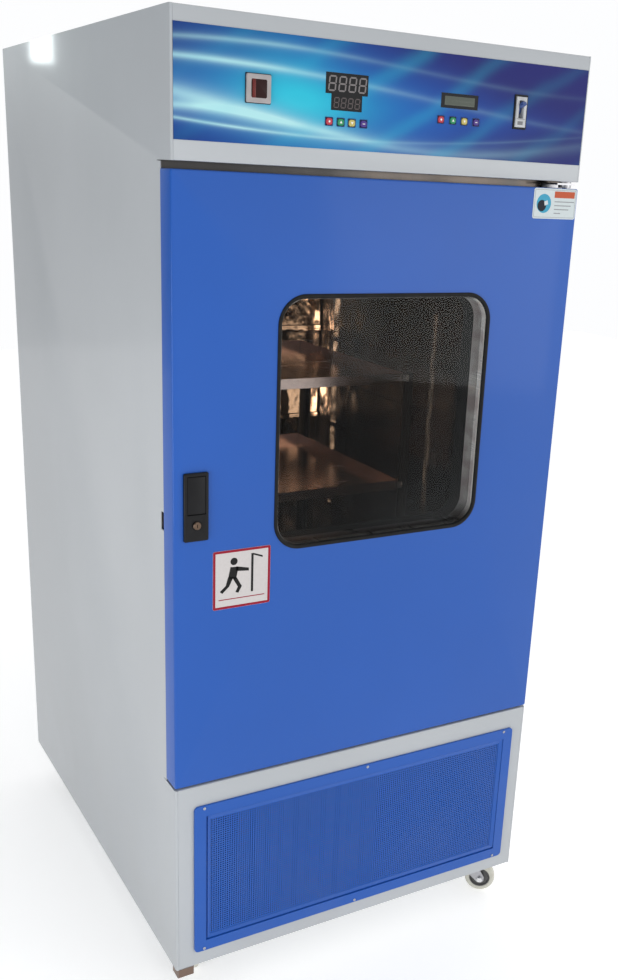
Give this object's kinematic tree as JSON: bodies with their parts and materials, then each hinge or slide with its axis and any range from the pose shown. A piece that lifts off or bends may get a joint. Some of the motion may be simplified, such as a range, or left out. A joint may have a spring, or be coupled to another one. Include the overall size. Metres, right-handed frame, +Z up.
{
  "type": "orbital incubator shaker",
  "caption": "Floor-standing orbital incubator shaker: steel cabinet on castors with a hinged, windowed, insulated door, a control head above it and an orbiting tray rack inside.",
  "frame": {"origin": "on the floor, under the middle of the whole object's bounding box", "axes": "+Z up, +X to the right along the front, +Y from the door to the back"},
  "size_m": [0.74, 0.9584, 1.647],
  "materials": {
    "cabinet_grey": "fine powder coat, semi-gloss",
    "door_blue": "fine powder coat, semi-gloss",
    "stainless": "brushed",
    "zinc_steel": "zinc plated",
    "bright_chrome": "polished",
    "black_plastic": "moulded, fine grain",
    "black_rubber": "matt",
    "foam": "rigid foam",
    "white_plastic": "moulded, semi-gloss",
    "window_glass": "clear",
    "cast_grey": "painted casting",
    "finned_copper": "finned coil",
    "fan_aluminium": "rolled",
    "grey_tyre": "smooth tread",
    "panel_blue": "printed film",
    "key_red": "moulded",
    "key_green": "moulded",
    "key_yellow": "moulded",
    "key_navy": "moulded"
  },
  "bodies": {
    "cabinet": {"left_side_panel": "cabinet_grey", "right_side_panel": "cabinet_grey", "head_cover": "cabinet_grey", "base_front_panel": "cabinet_grey", "back_panel": "cabinet_grey", "base_pan": "cabinet_grey", "machine_deck": "zinc_steel", "insulation_jacket": "foam", "chamber_liner": "stainless", "air_baffle": "stainless", "cooling_unit": "finned_copper", "compressor": "cast_grey", "condenser": "finned_copper", "drive_motor": "cast_grey", "drive_belt": "black_rubber", "cable_gland": "black_plastic", "grille_frame": "door_blue", "grille_mesh": "door_blue", "panel_overlay": "panel_blue", "voltmeter": "white_plastic", "temperature_controller": "black_plastic", "speed_controller": "black_plastic", "breaker_body": "white_plastic", "strike_bracket": "zinc_steel", "upper_hinge": "zinc_steel", "lower_hinge": "zinc_steel"},
    "door": {"door_skin": "door_blue", "door_liner": "stainless", "door_gasket": "black_rubber", "window_glass": "window_glass", "window_seal": "black_rubber", "handle_housing": "black_plastic"},
    "paddle": {"handle_paddle": "black_plastic"},
    "lock": {"lock_barrel": "bright_chrome"},
    "temperature_button_1": {"temperature_key_1": "key_red"},
    "temperature_button_2": {"temperature_key_2": "key_green"},
    "temperature_button_3": {"temperature_key_3": "key_yellow"},
    "temperature_button_4": {"temperature_key_4": "key_navy"},
    "speed_button_1": {"speed_key_1": "key_red"},
    "speed_button_2": {"speed_key_2": "key_green"},
    "speed_button_3": {"speed_key_3": "key_yellow"},
    "speed_button_4": {"speed_key_4": "key_navy"},
    "toggle": {"breaker_toggle": "door_blue"},
    "crank": {"drive_crank": "cast_grey"},
    "left_idler": {"left_idler_crank": "cast_grey"},
    "right_idler": {"right_idler_crank": "cast_grey"},
    "motor_rotor": {"motor_pulley": "zinc_steel"},
    "rack": {"shaker_platform": "stainless", "lower_tray": "stainless", "upper_tray": "stainless"},
    "chamber_fan": {"circulation_fan": "fan_aluminium"},
    "cooling_fan": {"condenser_fan": "fan_aluminium"},
    "front_left_fork": {"front_left_castor_fork": "zinc_steel"},
    "front_right_fork": {"front_right_castor_fork": "zinc_steel"},
    "rear_left_fork": {"rear_left_castor_fork": "zinc_steel"},
    "rear_right_fork": {"rear_right_castor_fork": "zinc_steel"},
    "front_left_wheel": {"front_left_castor_wheel": "grey_tyre"},
    "front_right_wheel": {"front_right_castor_wheel": "grey_tyre"},
    "rear_left_wheel": {"rear_left_castor_wheel": "grey_tyre"},
    "rear_right_wheel": {"rear_right_castor_wheel": "grey_tyre"}
  },
  "joints": [
    {"name": "door_hinge", "type": "hinge", "parent": "cabinet", "child": "door", "pos_m": [0.355, -0.4468, 0.452], "axis": [0, 0, 1], "range_deg": [0, 120]},
    {"name": "paddle_pivot", "type": "hinge", "parent": "door", "child": "paddle", "pos_m": [-0.33325, -0.4683, 0.9875], "axis": [-1, 0, 0], "range_deg": [0, 35], "stiffness_Nm_per_rad": 0.05},
    {"name": "lock_turn", "type": "hinge", "parent": "door", "child": "lock", "pos_m": [-0.333, -0.475, 0.913], "axis": [0, -1, 0], "range_deg": [0, 90]},
    {"name": "temperature_key_1_press", "type": "slide", "parent": "cabinet", "child": "temperature_button_1", "axis": [0, 1, 0], "range_m": [0, 0.001], "stiffness_N_per_m": 200},
    {"name": "temperature_key_2_press", "type": "slide", "parent": "cabinet", "child": "temperature_button_2", "axis": [0, 1, 0], "range_m": [0, 0.001], "stiffness_N_per_m": 200},
    {"name": "temperature_key_3_press", "type": "slide", "parent": "cabinet", "child": "temperature_button_3", "axis": [0, 1, 0], "range_m": [0, 0.001], "stiffness_N_per_m": 200},
    {"name": "temperature_key_4_press", "type": "slide", "parent": "cabinet", "child": "temperature_button_4", "axis": [0, 1, 0], "range_m": [0, 0.001], "stiffness_N_per_m": 200},
    {"name": "speed_key_1_press", "type": "slide", "parent": "cabinet", "child": "speed_button_1", "axis": [0, 1, 0], "range_m": [0, 0.001], "stiffness_N_per_m": 200},
    {"name": "speed_key_2_press", "type": "slide", "parent": "cabinet", "child": "speed_button_2", "axis": [0, 1, 0], "range_m": [0, 0.001], "stiffness_N_per_m": 200},
    {"name": "speed_key_3_press", "type": "slide", "parent": "cabinet", "child": "speed_button_3", "axis": [0, 1, 0], "range_m": [0, 0.001], "stiffness_N_per_m": 200},
    {"name": "speed_key_4_press", "type": "slide", "parent": "cabinet", "child": "speed_button_4", "axis": [0, 1, 0], "range_m": [0, 0.001], "stiffness_N_per_m": 200},
    {"name": "breaker_switch", "type": "hinge", "parent": "cabinet", "child": "toggle", "pos_m": [0.229, -0.4568, 1.555], "axis": [1, 0, 0], "range_deg": [0, 48]},
    {"name": "crank_turn", "type": "hinge", "parent": "cabinet", "child": "crank", "pos_m": [0, 0.0407, 0.525], "axis": [0, 0, 1], "continuous": true},
    {"name": "rack_pivot", "type": "hinge", "parent": "crank", "child": "rack", "pos_m": [0, 0.0532, 0.5365], "axis": [0, 0, 1], "continuous": true},
    {"name": "left_idler_turn", "type": "hinge", "parent": "cabinet", "child": "left_idler", "pos_m": [-0.165, 0.1707, 0.525], "axis": [0, 0, 1], "continuous": true},
    {"name": "right_idler_turn", "type": "hinge", "parent": "cabinet", "child": "right_idler", "pos_m": [0.165, 0.1707, 0.525], "axis": [0, 0, 1], "continuous": true},
    {"name": "motor_turn", "type": "hinge", "parent": "cabinet", "child": "motor_rotor", "pos_m": [0.195, 0.0407, 0.403], "axis": [0, 0, 1], "continuous": true},
    {"name": "chamber_fan_turn", "type": "hinge", "parent": "cabinet", "child": "chamber_fan", "pos_m": [0, 0.3559, 0.985], "axis": [0, 1, 0], "continuous": true},
    {"name": "cooling_fan_turn", "type": "hinge", "parent": "cabinet", "child": "cooling_fan", "pos_m": [-0.095, -0.3828, 0.2233], "axis": [0, 1, 0], "continuous": true},
    {"name": "front_left_swivel", "type": "hinge", "parent": "cabinet", "child": "front_left_fork", "pos_m": [-0.31, -0.3948, 0.085], "axis": [0, 0, 1], "continuous": true},
    {"name": "front_right_swivel", "type": "hinge", "parent": "cabinet", "child": "front_right_fork", "pos_m": [0.31, -0.3948, 0.085], "axis": [0, 0, 1], "continuous": true},
    {"name": "rear_left_swivel", "type": "hinge", "parent": "cabinet", "child": "rear_left_fork", "pos_m": [-0.31, 0.3912, 0.085], "axis": [0, 0, 1], "continuous": true},
    {"name": "rear_right_swivel", "type": "hinge", "parent": "cabinet", "child": "rear_right_fork", "pos_m": [0.31, 0.3912, 0.085], "axis": [0, 0, 1], "continuous": true},
    {"name": "front_left_roll", "type": "hinge", "parent": "front_left_fork", "child": "front_left_wheel", "pos_m": [-0.2998, -0.36341, 0.0315], "axis": [-0.9511, 0.309, 0], "continuous": true},
    {"name": "front_right_roll", "type": "hinge", "parent": "front_right_fork", "child": "front_right_wheel", "pos_m": [0.336, -0.41512, 0.0315], "axis": [0.6157, 0.788, 0], "continuous": true},
    {"name": "rear_left_roll", "type": "hinge", "parent": "rear_left_fork", "child": "rear_left_wheel", "pos_m": [-0.30427, 0.3587, 0.0315], "axis": [0.9848, 0.1736, 0], "continuous": true},
    {"name": "rear_right_roll", "type": "hinge", "parent": "rear_right_fork", "child": "rear_right_wheel", "pos_m": [0.29871, 0.36019, 0.0315], "axis": [0.9397, -0.342, 0], "continuous": true}
  ],
  "couplings": [
    {"joint": "rack_pivot", "follows": "crank_turn", "ratio": -1},
    {"joint": "left_idler_turn", "follows": "crank_turn", "ratio": 1},
    {"joint": "right_idler_turn", "follows": "crank_turn", "ratio": 1},
    {"joint": "motor_turn", "follows": "crank_turn", "ratio": 2.8}
  ]
}
